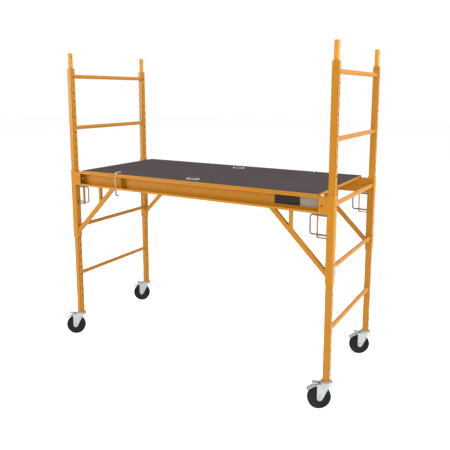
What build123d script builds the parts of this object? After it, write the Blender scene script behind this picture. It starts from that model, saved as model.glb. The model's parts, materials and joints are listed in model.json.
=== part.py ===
from build123d import *
from math import atan2, cos, degrees, radians, sin, tan
import os

# Mobile frame scaffold section: two ladder end frames on brake casters, joined by two side brackets that
# slide on the posts and carry a plywood platform. Millimetres, +Z up. While it is laid out, X = Y = 0 is
# the centre of the four posts and Z = 0 is the floor; +X runs from the left frame to the right one and -Y
# is the front. On export everything is moved so that the origin is under the middle of the whole.

# ---- Overall layout ----
frame_spacing = 1778.0       # between the post centres of the two end frames, along X
post_spacing = 711.2         # between the two post centres of one end frame, along Y
post_length = 1649.0

# ---- Posts ----
pin_diameter = 9.5           # of the locking pins and of the U-lock rods
post_size = 35.0
post_wall = 2.0
post_corner = 4.0
pin_clearance = 0.5          # round a 9.5 mm pin or lock rod, in every hole of the posts and sleeves
hole_pitch = 50.8
top_hole_drop = 55.0         # from the top of a post to its first hole
end_margin = 20.0            # least metal kept between the last hole and the foot of a post

# ---- Rungs ----
rung_diameter = 25.4
rung_wall = 1.8
rung_pitch = 330.2
top_rung_drop = 50.0         # from the top of a post to the highest rung's centre
low_rung_margin = 100.0      # least height of a rung above the foot of a post

# ---- Stacking spigots ----
spigot_clearance = 1.2       # each side, inside a post stacked on it
spigot_wall = 2.5
spigot_height = 97.0
spigot_end_gap = 10.0        # from the post's first hole up to the spigot's lower end
spigot_hole_drop = 24.0
spigot_relief_height = 3.0   # groove round the spigot's foot, so that a stacked post sits down flat
spigot_relief_depth = 0.4
collar_thickness = 6.0

# ---- Side brackets ----
sleeve_wall = 2.5
sleeve_clearance = 0.65      # each side, round the post
sleeve_corner = 4.5
sleeve_length = 457.2
sleeve_slot_clearance = 1.5  # each side of a rung, in the slot that lets the sleeve slide past the rungs
upper_lock_hole = 14         # holes are counted from the top one, which is 0
lower_lock_hole = 16
spare_sleeve_hole = 13
sleeve_pin_hole = 19
rail_height = 88.0
rail_wall = 3.0
rail_bend_radius = 2.5       # inside the bends of the rail
top_lip = 8.0
bottom_lip = 14.0
end_plate_width = 44.0
end_plate_hole_diameter = 10.0
end_plate_hole_inset = 26.0  # from the sleeve to the plate's hole
rib_thickness = 4.0
rib_to_lock = 44.0           # from the platform lock to the rib, towards the middle of the rail
rib_clearance = 4.0
brace_size = 25.0
brace_wall = 2.0
brace_corner = 3.0
brace_reach = 308.0          # from the sleeve to the brace's centre under the rail
brace_foot_height = 48.0     # from the sleeve's lower end to the brace's centre
strut_size = 19.0
strut_wall = 1.6
strut_corner = 2.5
strut_reach = 200.0          # from the sleeve to the strut's centre

# ---- U-locks and their guards ----
lock_bend_radius = 12.0
loop_reach = 41.0            # from the guard's near face to the centre of the loop
lock_tip_proud = 0.5
lock_release_gap = 0.35      # between the post and the tips of a lock that is pulled back
stop_rim = 4.25              # how far the stop washers stand out round the rod
stop_thickness = 2.0
packed_spring_room = 13.0    # left for the springs and washers when the lock is pulled back
guard_thickness = 3.0
guard_width = 18.0
guard_bend_radius = 2.0      # inside the bend of the guard
guard_drop = 17.0            # from the lower lock rod's centre to the guard's lower leg
lock_spring_wire = 1.5
lock_spring_gap = 1.1        # between the rod and the spring round it
lock_spring_turns = 5

# ---- Platform ----
deck_end_gap = 48.35         # from the platform's end to the sleeve beside it
deck_side_inset = 6.25       # from the rail's outer face in to the platform's edge
deck_edge_height = 12.0
deck_edge_wall = 2.0
deck_corner = 5.0
panel_clearance = 0.3
hand_hole_length = 76.0
hand_hole_width = 38.0
hand_hole_inset = 92.0       # from the platform's long edge to the hand hole's centre
cross_bar_gap = 4.95         # between a cross bar's end and the rail
cross_bar_width = 30.0
cross_bar_height = 20.0
cross_bar_wall = 2.0
cross_bar_corner = 2.5
end_cross_bar_inset = 220.0  # from the platform's end
mid_cross_bar_offset = 220.0 # from the platform's middle
rivet_diameter = 6.0
rivet_inset = 15.0
side_rivets = 8
end_rivets = 3

# ---- Platform locks ----
lock_to_brace = 30.35         # from the brace's head to the rod, towards the middle of the rail
lip_clearance = 1.25          # between the collar and the rail's lips
platform_rod_diameter = 8.0
platform_rod_clearance = 0.5
platform_bend_radius = 8.0
finger_length = 50.0
finger_gap = 0.6
handle_length = 20.0
handle_drop = 38.0
platform_lock_travel = 15.0
notch_side_clearance = 3.0
notch_clearance = 2.0
keeper_height = 5.0           # from the rail's lower flange to the cross pin
keeper_diameter = 3.0
keeper_length = 14.0
collar_rim = 4.5              # how far the collar stands out round the rod
lock_collar_thickness = 3.0
platform_spring_wire = 1.6
platform_spring_gap = 1.7     # between the rod and the spring round it
platform_spring_turns = 9

# ---- Sleeve pins and caster pins ----
pin_head_radius = 8.0
pin_head_thickness = 5.0
pin_tip = 6.0
pin_travel = 62.0
bail_wire = 3.0
bail_width = 40.0
bail_drop = 42.0
bail_shoulder = 14.0
bail_bend_radius = 6.0

# ---- Casters ----
wheel_diameter = 127.0
wheel_gap = 10.0              # between the wheel and the crown above it
wheel_width = 32.0
wheel_hub_proud = 2.5
wheel_hub_radius = 20.0
wheel_web_width = 22.0
wheel_web_radius = 46.0
tread_round = 4.0
axle_diameter = 12.0
axle_head_radius = 10.0
axle_head_thickness = 6.0
trail = 37.5                  # from the swivel axis to the wheel's axle
trail_angle = 212.0           # direction in which every wheel trails, counter-clockwise from +X
stem_clearance = 1.5          # each side, inside the post
stem_length = 100.0
stem_collar_radius = 24.0
stem_collar_thickness = 4.5
race_radius = 32.0
race_thickness = 4.5
kingpin_diameter = 12.0
kingpin_head_radius = 9.0
kingpin_head_thickness = 5.0
crown_radius = 33.0
crown_thickness = 4.0
crown_reach = 36.0            # how far the crown runs back over the wheel
raceway_inner = 17.0
raceway_outer = 27.0
raceway_height = 3.7
fork_leg_wall = 3.0
fork_front = 17.0             # how far the legs run forward of the swivel axis
fork_back = 15.0              # how far the legs run back past the axle
fork_foot_radius = 15.0
pedal_pin_diameter = 6.0
pedal_hub_radius = 5.5
pedal_width = 34.0
pedal_wall = 3.0
shoe_radius = 3.5

# Points of the pedal: how far behind the wheel's axle, and how far above the crown's underside.
pivot_point = (7.5, -2.0)
knee_point = (24.5, -5.5)
tip_point = (66.5, -29.0)
release_knee_point = (14.5, 8.0)
release_tip_point = (38.5, 10.0)
shoe_point = (19.5, -5.5)

# ---- Clearances ----
running_clearance = 0.05
face_gap = 0.3

# ---- Sizes worked out from the ones above ----
hole_diameter = pin_diameter + 2 * pin_clearance
crown_bottom = wheel_diameter + wheel_gap
crown_top = crown_bottom + crown_thickness
race_bottom = crown_top + raceway_height + face_gap
stem_collar_bottom = race_bottom + race_thickness
caster_height = stem_collar_bottom + stem_collar_thickness
post_inside = post_size - 2 * post_wall
stem_diameter = post_inside - 2 * stem_clearance
spigot_diameter = post_inside - 2 * spigot_clearance
spigot_depth = top_hole_drop - spigot_end_gap
sleeve_size = post_size + 2 * (sleeve_clearance + sleeve_wall)
post_bottom = caster_height
post_top = post_bottom + post_length
top_hole = post_top - top_hole_drop
hole_count = int((top_hole - post_bottom - end_margin) // hole_pitch) + 1
rung_count = int((post_length - top_rung_drop - low_rung_margin) // rung_pitch) + 1
post_x = frame_spacing / 2
post_y = post_spacing / 2
upper_lock_z = top_hole - upper_lock_hole * hole_pitch
lower_lock_z = top_hole - lower_lock_hole * hole_pitch
sleeve_pin_z = top_hole - sleeve_pin_hole * hole_pitch
caster_pin_z = top_hole - (hole_count - 1) * hole_pitch
stop_radius = pin_diameter / 2 + stop_rim
rail_bottom = upper_lock_z + stop_radius + face_gap
rail_top = rail_bottom + rail_height
deck_top = rail_top + deck_edge_height
sleeve_top = deck_top
sleeve_bottom = sleeve_top - sleeve_length
sleeve_face = sleeve_size / 2
rail_half = post_x - sleeve_face
rail_outer = post_y + sleeve_face
rail_inner = post_y - sleeve_face
lock_travel = sleeve_face + lock_tip_proud + post_size / 2 + lock_release_gap
guard_reach = lock_travel + packed_spring_room
lock_reach = guard_reach + loop_reach
lock_spring_radius = pin_diameter / 2 + lock_spring_gap + lock_spring_wire / 2
deck_half_length = rail_half - deck_end_gap
deck_half_width = rail_outer - deck_side_inset
cross_bar_reach = rail_inner - cross_bar_gap
deck_edge_flange = deck_half_width - cross_bar_reach
outer_cross_bar = deck_half_length - end_cross_bar_inset
cross_bar_places = (-outer_cross_bar, -mid_cross_bar_offset, mid_cross_bar_offset, outer_cross_bar)
collar_outer_radius = platform_rod_diameter / 2 + collar_rim
platform_lock_offset = rail_half - brace_reach - lock_to_brace
platform_lock_y = rail_outer - rail_wall - lip_clearance - collar_outer_radius
platform_spring_radius = platform_rod_diameter / 2 + platform_spring_gap + platform_spring_wire / 2
notch_width = platform_rod_diameter + 2 * notch_side_clearance
rib_offset = platform_lock_offset - rib_to_lock
axle_height = wheel_diameter / 2
wheel_hub_width = wheel_width + 2 * wheel_hub_proud
fork_inner = wheel_hub_width / 2 + face_gap + 0.2
fork_outer = fork_inner + fork_leg_wall
guard_bottom = lower_lock_z - guard_drop
keeper_z = rail_bottom + rail_wall + keeper_height
lock_collar_z = keeper_z + keeper_diameter / 2 + face_gap

# Each corner by name: which side it is on along X and along Y.
corners = {
    "front_left": (-1, -1),
    "front_right": (1, -1),
    "rear_left": (-1, 1),
    "rear_right": (1, 1),
}


# ---- Helpers ----
def block(x0, x1, y0, y1, z0, z1):
    """A box between two opposite corners."""
    return Pos((x0 + x1) / 2, (y0 + y1) / 2, (z0 + z1) / 2) * Box(x1 - x0, y1 - y0, z1 - z0)


def rounded_slab(half_x, half_y, corner, z0, z1):
    """A flat slab about the Z axis with rounded upright edges."""
    return Pos(0, 0, z0) * extrude(RectangleRounded(2 * half_x, 2 * half_y, corner), amount=z1 - z0)


def rod_x(radius, x0, x1, z):
    """A round bar along X at height z."""
    return Pos((x0 + x1) / 2, 0, z) * Rot(0, 90, 0) * Cylinder(radius, x1 - x0)


def disc(radius, z0, z1):
    """A round plate or a vertical round bar on the Z axis."""
    return Pos(0, 0, (z0 + z1) / 2) * Cylinder(radius, z1 - z0)


def tube_profile(width, height, wall, corner):
    """Section of a tube with rounded corners; corner is the radius outside."""
    outer = RectangleRounded(width, height, corner)
    return outer - RectangleRounded(width - 2 * wall, height - 2 * wall, corner - wall)


def square_tube(size, wall, corner, z0, z1):
    """A vertical square tube with rounded corners."""
    return Pos(0, 0, z0) * extrude(tube_profile(size, size, wall, corner), amount=z1 - z0)


def side_slab(sketch, half_width):
    """A sketch drawn in X and Z, given a thickness along Y."""
    return extrude(Plane.XZ * sketch, amount=half_width, both=True)


def bent_rod(points, bend_radius, radius):
    """A round rod that follows straight runs joined by bends."""
    path = FilletPolyline(*points, radius=bend_radius)
    return sweep(Plane(origin=path @ 0, z_dir=path % 0) * Circle(radius), path=path)


def coil(radius, wire, height, turns):
    """A coil spring standing on Z = 0 along +Z; its wire's centre starts and ends half a wire inside."""
    rise = height - wire
    path = Pos(0, 0, wire / 2) * Helix(pitch=rise / turns, height=rise, radius=radius)
    return sweep(Plane(origin=path @ 0, z_dir=path % 0) * Circle(wire / 2), path=path, is_frenet=True)


def at_corner(shape, corner):
    """Moves a shape made about a post's centre line, with the outside towards +X, to its corner."""
    side, row = corners[corner]
    turn = 0 if side > 0 else 180
    return Pos(side * post_x, row * post_y, 0) * Rot(0, 0, turn) * shape


def at_each_corner(shape):
    return [at_corner(shape, corner) for corner in corners]


def turned(shape):
    """The same piece on the rear bracket, which is the front bracket turned half round."""
    return Rot(0, 0, 180) * shape


# ---- End frames ----
def hole_heights():
    return [top_hole - index * hole_pitch for index in range(hole_count)]


def post():
    tube = square_tube(post_size, post_wall, post_corner, post_bottom, post_top)
    return tube - [rod_x(hole_diameter / 2, -post_size, post_size, z) for z in hole_heights()]


def rungs(side):
    """The rungs of one end frame, butted to the inner faces of its posts."""
    length = post_spacing - post_size
    ring = Circle(rung_diameter / 2) - Circle(rung_diameter / 2 - rung_wall)
    rung = Rot(90, 0, 0) * extrude(ring, amount=length / 2, both=True)
    top = post_top - top_rung_drop
    return [Pos(side * post_x, 0, top - index * rung_pitch) * rung for index in range(rung_count)]


def spigot():
    outer = spigot_diameter / 2
    tube = disc(outer, post_top - spigot_depth, post_top + spigot_height)
    tube -= disc(outer - spigot_wall, post_top - spigot_depth, post_top + spigot_height)
    relief_top = post_top + spigot_relief_height
    tube -= disc(outer, post_top, relief_top) - disc(outer - spigot_relief_depth, post_top, relief_top)
    return tube - rod_x(hole_diameter / 2, -outer, outer, post_top + spigot_height - spigot_hole_drop)


def spigot_collars():
    """Two square rings that hold the spigot in the middle of the post."""
    ring = RectangleRounded(post_inside, post_inside, post_corner - post_wall) - Circle(spigot_diameter / 2)
    plate = extrude(ring, amount=collar_thickness)
    return [Pos(0, 0, z) * plate for z in (post_top - collar_thickness, post_top - spigot_depth)]


# ---- Side brackets ----
def sleeve(rung_side):
    """Square tube round the post, slotted for the rungs on its +Y or -Y side (rung_side 1 or -1)."""
    tube = square_tube(sleeve_size, sleeve_wall, sleeve_corner, sleeve_bottom, sleeve_top)
    half_slot = rung_diameter / 2 + sleeve_slot_clearance
    y0, y1 = sorted((rung_side * post_size / 2, rung_side * sleeve_size))
    tube -= block(-half_slot, half_slot, y0, y1, sleeve_bottom, sleeve_top)
    used = (spare_sleeve_hole, upper_lock_hole, lower_lock_hole, sleeve_pin_hole)
    heights = [top_hole - index * hole_pitch for index in used]
    return tube - [rod_x(hole_diameter / 2, -sleeve_size, sleeve_size, z) for z in heights]


def rail():
    """The front rail: a lipped channel with round bends, open to the outside between its lips."""
    profile = tube_profile(rail_outer - rail_inner, rail_height, rail_wall, rail_bend_radius + rail_wall)
    section = Plane.YZ * Pos(-post_y, rail_bottom + rail_height / 2) * profile
    channel = extrude(section, amount=rail_half, both=True)
    low, high = rail_bottom + bottom_lip, rail_top - top_lip
    channel -= block(-rail_half, rail_half, -rail_outer, -rail_outer + rail_wall, low, high)
    rod_hole = disc(platform_rod_diameter / 2 + platform_rod_clearance, rail_bottom, rail_top)
    channel -= Pos(-platform_lock_offset, -platform_lock_y, 0) * rod_hole
    return channel - end_plate_holes(-rail_inner - rail_wall, -rail_inner)


def end_plate_holes(y0, y1):
    """Cylinders along Y where the bolt holes near both ends of the front rail go."""
    place = rail_half - end_plate_hole_inset
    height = rail_bottom + rail_height / 2
    bar = Rot(90, 0, 0) * Cylinder(end_plate_hole_diameter / 2, y1 - y0)
    return [Pos(side * place, (y0 + y1) / 2, height) * bar for side in (-1, 1)]


def end_plates():
    """The plates that close the mouth of the front rail, between its lips, beside its sleeves."""
    near = rail_half - end_plate_width
    face = -rail_outer + rail_wall
    plates = []
    for side in (-1, 1):
        x0, x1 = sorted((side * near, side * rail_half))
        plate = block(x0, x1, -rail_outer, face, rail_bottom + bottom_lip, rail_top - top_lip)
        plates.append(plate - end_plate_holes(-rail_outer, face))
    return plates


def rib():
    middle = -rib_offset
    front = -rail_outer + rail_wall + rib_clearance
    back = -rail_inner - rail_wall
    low, high = rail_bottom + rail_wall, rail_top - rail_wall
    plate = block(middle - rib_thickness / 2, middle + rib_thickness / 2, front, back, low, high)
    corners_in_bends = plate.edges().filter_by(Axis.X).group_by(Axis.Y)[-1]
    return fillet(corners_in_bends, rail_bend_radius)


def brace_outline(width):
    """A brace of that width seen from the front, from the right-hand sleeve up to the rail."""
    foot_z = sleeve_bottom + brace_foot_height
    head_x = rail_half - brace_reach
    slope = atan2(rail_bottom - foot_z, brace_reach)
    rise, run = width / cos(slope) / 2, width / sin(slope) / 2
    return Polygon(
        (rail_half, foot_z - rise), (rail_half, foot_z + rise),
        (head_x + run, rail_bottom), (head_x - run, rail_bottom), align=None)


def slanted_tube(outline, size, wall, corner):
    """A square tube whose ends are cut as in the outline, which gives its side view for a width."""
    inside = size - 2 * wall
    bar, bore = side_slab(outline(size), size / 2), side_slab(outline(inside), inside / 2)
    bar = fillet(bar.edges().sort_by(SortBy.LENGTH)[-4:], corner)
    bore = fillet(bore.edges().sort_by(SortBy.LENGTH)[-4:], corner - wall)
    return Pos(0, -post_y, 0) * (bar - bore)


def brace():
    return slanted_tube(brace_outline, brace_size, brace_wall, brace_corner)


def strut_outline(width):
    """A strut seen from the front, cut to the upper face of the brace."""
    foot_z = sleeve_bottom + brace_foot_height
    slope = atan2(rail_bottom - foot_z, brace_reach)
    upper_z = foot_z + brace_size / cos(slope) / 2
    middle = rail_half - strut_reach
    left, right = middle - width / 2, middle + width / 2
    left_z = upper_z + (rail_half - left) * tan(slope)
    right_z = upper_z + (rail_half - right) * tan(slope)
    return Polygon((left, left_z), (right, right_z), (right, rail_bottom), (left, rail_bottom), align=None)


def strut():
    return slanted_tube(strut_outline, strut_size, strut_wall, strut_corner)


def both_ends(shape):
    """A piece at the right-hand end of the front bracket and its mirror image at the left."""
    return [shape, mirror(shape, about=Plane.YZ)]


def both_brackets(shapes):
    return shapes + [turned(shape) for shape in shapes]


# ---- U-locks ----
def lock_guard():
    """Flat bar from the rail down past the lock and back to the sleeve, with a hole for each leg."""
    inner = -sleeve_face - guard_reach
    outer, floor = inner - guard_thickness, guard_bottom + guard_thickness
    outline = Polygon(
        (outer, guard_bottom), (-sleeve_face, guard_bottom), (-sleeve_face, floor),
        (inner, floor), (inner, rail_bottom), (outer, rail_bottom), align=None)
    bend = outline.vertices().sort_by_distance((outer, guard_bottom))[0]
    outline = fillet(bend, guard_bend_radius + guard_thickness)
    bend = outline.vertices().sort_by_distance((inner, floor))[0]
    bar = side_slab(fillet(bend, guard_bend_radius), guard_width / 2)
    heights = (lower_lock_z, upper_lock_z)
    return bar - [rod_x(hole_diameter / 2, outer, inner, z) for z in heights]


def stop_face():
    """Where the outer faces of the stop washers are, along X from the post's centre line."""
    return -sleeve_face - face_gap


def u_lock():
    """The rod bent into a U, with a stop washer on each leg."""
    tip = sleeve_face + lock_tip_proud
    loop = -sleeve_face - lock_reach
    points = [(tip, 0, lower_lock_z), (loop, 0, lower_lock_z),
              (loop, 0, upper_lock_z), (tip, 0, upper_lock_z)]
    lock = bent_rod(points, lock_bend_radius, pin_diameter / 2)
    for z in (lower_lock_z, upper_lock_z):
        lock += rod_x(stop_radius, stop_face() - stop_thickness, stop_face(), z)
    return lock


def u_lock_springs():
    start = -sleeve_face - guard_reach + face_gap
    length = stop_face() - stop_thickness - face_gap - start
    spring = Rot(0, 90, 0) * coil(lock_spring_radius, lock_spring_wire, length, lock_spring_turns)
    return [Pos(start, 0, z) * spring for z in (lower_lock_z, upper_lock_z)]


# ---- Sleeve pins and caster pins ----
def locking_pin(face, z):
    """A pin through a tube whose outside is at +face, with a head and a wire bail that hangs from it."""
    head = face + face_gap
    pin = rod_x(pin_diameter / 2, -face - pin_tip, head, z)
    pin += rod_x(pin_head_radius, head, head + pin_head_thickness, z)
    x, half = head + pin_head_thickness / 2, bail_width / 2
    points = [(x, -pin_head_radius / 2, z), (x, -half, z - bail_shoulder), (x, -half, z - bail_drop),
              (x, half, z - bail_drop), (x, half, z - bail_shoulder), (x, pin_head_radius / 2, z)]
    return pin + bent_rod(points, bail_bend_radius, bail_wire / 2)


# ---- Platform ----
def rivet_places():
    """Rivet centres round the platform's edge."""
    step_x = 2 * deck_half_length / side_rivets
    step_y = 2 * deck_half_width / end_rivets
    side_y, end_x = deck_half_width - rivet_inset, deck_half_length - rivet_inset
    places = [(-deck_half_length + step_x * (index + 0.5), side * side_y)
              for index in range(side_rivets) for side in (-1, 1)]
    return places + [(side * end_x, -deck_half_width + step_y * (index + 0.5))
                     for index in range(end_rivets) for side in (-1, 1)]


def rivets():
    bar = disc(rivet_diameter / 2, rail_top, deck_top)
    return [Pos(x, y, 0) * bar for x, y in rivet_places()]


def notches():
    """What is cut from the platform's edge where the two platform locks stand."""
    inner = platform_lock_y - platform_rod_diameter / 2 - notch_clearance
    x0, x1 = -platform_lock_offset - notch_width / 2, -platform_lock_offset + notch_width / 2
    notch = block(x0, x1, -deck_half_width, -inner, rail_top, deck_top)
    return [notch, turned(notch)]


def deck_panel():
    half_x = deck_half_length - deck_edge_wall - panel_clearance
    half_y = deck_half_width - deck_edge_wall - panel_clearance
    corner = deck_corner - deck_edge_wall
    panel = rounded_slab(half_x, half_y, corner, rail_top + deck_edge_wall, deck_top)
    slot = extrude(SlotOverall(hand_hole_length, hand_hole_width), amount=deck_edge_height)
    place = deck_half_width - hand_hole_inset
    slots = [Pos(0, side * place, rail_top) * slot for side in (-1, 1)]
    return panel - slots - notches() - rivets()


def deck_edge_frame():
    """Angle round the platform: an upright edge and a flange under the panel."""
    half_x, half_y = deck_half_length, deck_half_width
    wall, flange = deck_edge_wall, deck_edge_flange
    frame = rounded_slab(half_x, half_y, deck_corner, rail_top, deck_top)
    frame -= rounded_slab(half_x - wall, half_y - wall, deck_corner - wall, rail_top + wall, deck_top)
    frame -= block(-half_x + flange, half_x - flange, -half_y + flange, half_y - flange, rail_top, deck_top)
    return frame - notches() - rivets()


def cross_bars():
    """Tubes under the panel, between the edge frame's flanges."""
    reach, top = cross_bar_reach, rail_top + deck_edge_wall
    section = Plane.XZ * Pos(0, top - cross_bar_height / 2) * tube_profile(
        cross_bar_width, cross_bar_height, cross_bar_wall, cross_bar_corner)
    bar = extrude(section, amount=reach, both=True)
    return [Pos(x, 0, 0) * bar for x in cross_bar_places]


# ---- Platform locks ----
def platform_lock_rod():
    """The front lock's rod: handle below the rail, finger over the platform, cross pin over the flange."""
    radius = platform_rod_diameter / 2
    low = rail_bottom - handle_drop
    high = deck_top + finger_gap + radius
    points = [(handle_length, 0, low), (0, 0, low), (0, 0, high), (0, finger_length, high)]
    return bent_rod(points, platform_bend_radius, radius) + rod_x(
        keeper_diameter / 2, -keeper_length / 2, keeper_length / 2, keeper_z)


def platform_lock_collar():
    bore = platform_rod_diameter / 2 + running_clearance
    top = lock_collar_z + lock_collar_thickness
    return disc(collar_outer_radius, lock_collar_z, top) - disc(bore, lock_collar_z, top)


def platform_lock_spring():
    start = lock_collar_z + lock_collar_thickness
    length = rail_top - rail_wall - start
    return Pos(0, 0, start) * coil(
        platform_spring_radius, platform_spring_wire, length, platform_spring_turns)


def at_platform_lock(shape):
    return Pos(-platform_lock_offset, -platform_lock_y, 0) * shape


# ---- Casters: made with the swivel axis on Z and the wheel towards +X ----
def caster_stem():
    """The part pinned in the post: stem, collar, race and kingpin."""
    stem = disc(stem_diameter / 2, caster_height, caster_height + stem_length)
    stem += disc(stem_collar_radius, stem_collar_bottom, caster_height)
    stem += disc(race_radius, race_bottom, stem_collar_bottom)
    head_top = crown_bottom - face_gap
    stem += disc(kingpin_diameter / 2, head_top, race_bottom)
    stem += disc(kingpin_head_radius, head_top - kingpin_head_thickness, head_top)
    return stem - rod_x(hole_diameter / 2, -stem_diameter, stem_diameter, caster_pin_z)


def cross_bar_y(radius, x, z, half_length):
    """A round bar along Y."""
    return Pos(x, 0, z) * Rot(90, 0, 0) * Cylinder(radius, 2 * half_length)


def pedal_place(point):
    """Where a point of the pedal is, from the swivel axis and the floor."""
    return (trail + point[0], crown_bottom + point[1])


def fork_leg_outline():
    back = trail + fork_back
    top = Pos((back - fork_front) / 2, crown_top - crown_thickness / 2)
    band = top * Rectangle(fork_front + back, crown_thickness)
    foot = Pos(trail, axle_height) * Circle(fork_foot_radius)
    return make_hull(band.edges() + foot.edges())


def caster_fork():
    """Crown with its raceway, two tapered legs and the riveted pin that the pedal turns on."""
    legs = side_slab(fork_leg_outline(), fork_outer) - side_slab(fork_leg_outline(), fork_inner)
    crown = disc(crown_radius, crown_bottom, crown_top)
    crown += block(-fork_front, crown_reach, -fork_outer, fork_outer, crown_bottom, crown_top)
    crown += disc(raceway_outer, crown_top, crown_top + raceway_height)
    crown -= disc(raceway_inner, crown_top, crown_top + raceway_height)
    crown -= disc(kingpin_diameter / 2 + running_clearance, crown_bottom, crown_top)
    fork = legs + crown - cross_bar_y(axle_diameter / 2, trail, axle_height, fork_outer)
    return fork + cross_bar_y(pedal_pin_diameter / 2, *pedal_place(pivot_point), fork_outer)


def wheel():
    """Solid tyre, thinner web and hub, turned about the axle."""
    bore = axle_diameter / 2 + running_clearance
    radii = [(bore, wheel_hub_radius, wheel_hub_width),
             (wheel_hub_radius, wheel_web_radius, wheel_web_width),
             (wheel_web_radius, wheel_diameter / 2, wheel_width)]
    profile = Sketch() + [Pos((r0 + r1) / 2, 0) * Rectangle(r1 - r0, width) for r0, r1, width in radii]
    tread = profile.vertices().group_by(Axis.X)[-1]
    profile = fillet(tread, tread_round)
    turned_wheel = revolve(profile, axis=Axis.Y)
    return Pos(trail, 0, axle_height) * turned_wheel


def wheel_axle():
    """Bolt through the fork and the wheel, with a hexagon head and nut."""
    bolt = cross_bar_y(axle_diameter / 2, trail, axle_height, fork_outer + axle_head_thickness)
    hexagon = extrude(RegularPolygon(axle_head_radius, 6), amount=axle_head_thickness)
    for turn in (90, -90):
        bolt += Pos(trail, 0, axle_height) * Rot(turn, 0, 0) * Pos(0, 0, fork_outer) * hexagon
    return bolt


def strip(first, last):
    """Pedal plate seen from the side, between two of its points, with round ends."""
    start, end = pedal_place(first), pedal_place(last)
    dx, dz = end[0] - start[0], end[1] - start[1]
    middle = Pos((start[0] + end[0]) / 2, (start[1] + end[1]) / 2)
    plate = SlotCenterToCenter((dx * dx + dz * dz) ** 0.5, pedal_wall)
    return middle * Rot(0, 0, degrees(atan2(dz, dx))) * plate


def brake_pedal():
    """Rocker on the fork's rear pin: a lower tab to brake, an upper tab to release and a brake shoe."""
    pivot = Pos(*pedal_place(pivot_point))
    outline = pivot * Circle(pedal_hub_radius)
    outline += strip(pivot_point, knee_point) + strip(knee_point, tip_point)
    outline += strip(pivot_point, release_knee_point) + strip(release_knee_point, release_tip_point)
    outline += Pos(*pedal_place(shoe_point)) * Circle(shoe_radius)
    outline -= pivot * Circle(pedal_pin_diameter / 2 + running_clearance)
    return side_slab(outline, pedal_width / 2)


# ---- Assembly ----
def structure():
    """Every piece that stays put, by node name."""
    nodes = {"post_" + corner: [at_corner(post(), corner)] for corner in corners}
    front_rail = rail()
    nodes["rungs_left"] = rungs(-1)
    nodes["rungs_right"] = rungs(1)
    nodes["stacking_spigots"] = at_each_corner(spigot())
    nodes["spigot_collars"] = [s for collar in spigot_collars() for s in at_each_corner(collar)]
    nodes["rail_front"] = [front_rail]
    nodes["rail_rear"] = [turned(front_rail)]
    nodes["bracket_sleeves"] = [at_corner(sleeve(-side * row), corner)
                                for corner, (side, row) in corners.items()]
    nodes["bracket_braces"] = both_brackets(both_ends(brace()))
    nodes["bracket_struts"] = both_brackets(both_ends(strut()))
    nodes["rail_end_plates"] = both_brackets(end_plates())
    nodes["rail_ribs"] = both_brackets([rib()])
    nodes["lock_guards"] = at_each_corner(lock_guard())
    nodes["deck_panel"] = [deck_panel()]
    nodes["deck_edge_frame"] = [deck_edge_frame()]
    nodes["deck_cross_bars"] = cross_bars()
    nodes["deck_rivets"] = rivets()
    nodes["caster_stems"] = at_each_corner(caster_stem())
    return nodes


def moving_pieces():
    """Every piece that moves, by node name."""
    nodes = {}
    sleeve_pin = locking_pin(sleeve_face, sleeve_pin_z)
    caster_pin = locking_pin(post_size / 2, caster_pin_z)
    lock, springs = u_lock(), u_lock_springs()
    casters = {"caster_fork_": caster_fork(), "caster_wheel_": wheel(),
               "caster_axle_": wheel_axle(), "brake_pedal_": brake_pedal()}
    for corner, (side, row) in corners.items():
        nodes["u_lock_" + corner] = [at_corner(lock, corner)]
        nodes["u_lock_springs_" + corner] = [at_corner(spring, corner) for spring in springs]
        nodes["sleeve_pin_" + corner] = [at_corner(sleeve_pin, corner)]
        nodes["caster_pin_" + corner] = [at_corner(caster_pin, corner)]
        place = Pos(side * post_x, row * post_y, 0) * Rot(0, 0, trail_angle)
        for name, piece in casters.items():
            nodes[name + corner] = [place * piece]
    locks = {"platform_lock_rod_": platform_lock_rod(), "platform_lock_collar_": platform_lock_collar(),
             "platform_lock_spring_": platform_lock_spring()}
    for name, piece in locks.items():
        nodes[name + "front"] = [at_platform_lock(piece)]
        nodes[name + "rear"] = [turned(at_platform_lock(piece))]
    return nodes


def origin_shift(nodes):
    """How far everything moves so that the origin is under the middle of the whole."""
    boxes = [shape.bounding_box() for shapes in nodes.values() for shape in shapes]
    middle_x = (min(box.min.X for box in boxes) + max(box.max.X for box in boxes)) / 2
    middle_y = (min(box.min.Y for box in boxes) + max(box.max.Y for box in boxes)) / 2
    return (-middle_x, -middle_y, 0)


nodes = {**structure(), **moving_pieces()}
shift = origin_shift(nodes)
os.makedirs("parts", exist_ok=True)
for node, shapes in nodes.items():
    solids = [solid for shape in shapes for solid in (Pos(*shift) * shape).solids()]
    export_step(Compound(children=solids), f"parts/{node}.step")
print(len(nodes), "nodes; origin shift", [round(value, 2) for value in shift])
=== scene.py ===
# %% [markdown]
# A rolling scaffold section is mostly welded steel tube, so the CAD parts already have the right
# shapes. Remodelling them would only lose precision. This lesson keeps every CAD node whose shape is
# right, gives it a finish with wear and grain, and adds what CAD leaves out: weld beads, wheels with a
# real tread, race covers, springs that close up, rivet heads, linings of the hand holes, plugs in the
# bolt holes, and the two plain plates on the front rail.

# %% Load the fixed frame
import json
from math import atan2, cos, pi, radians, sin

import bmesh
import bpy
from mathutils import Matrix, Vector, noise


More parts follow.
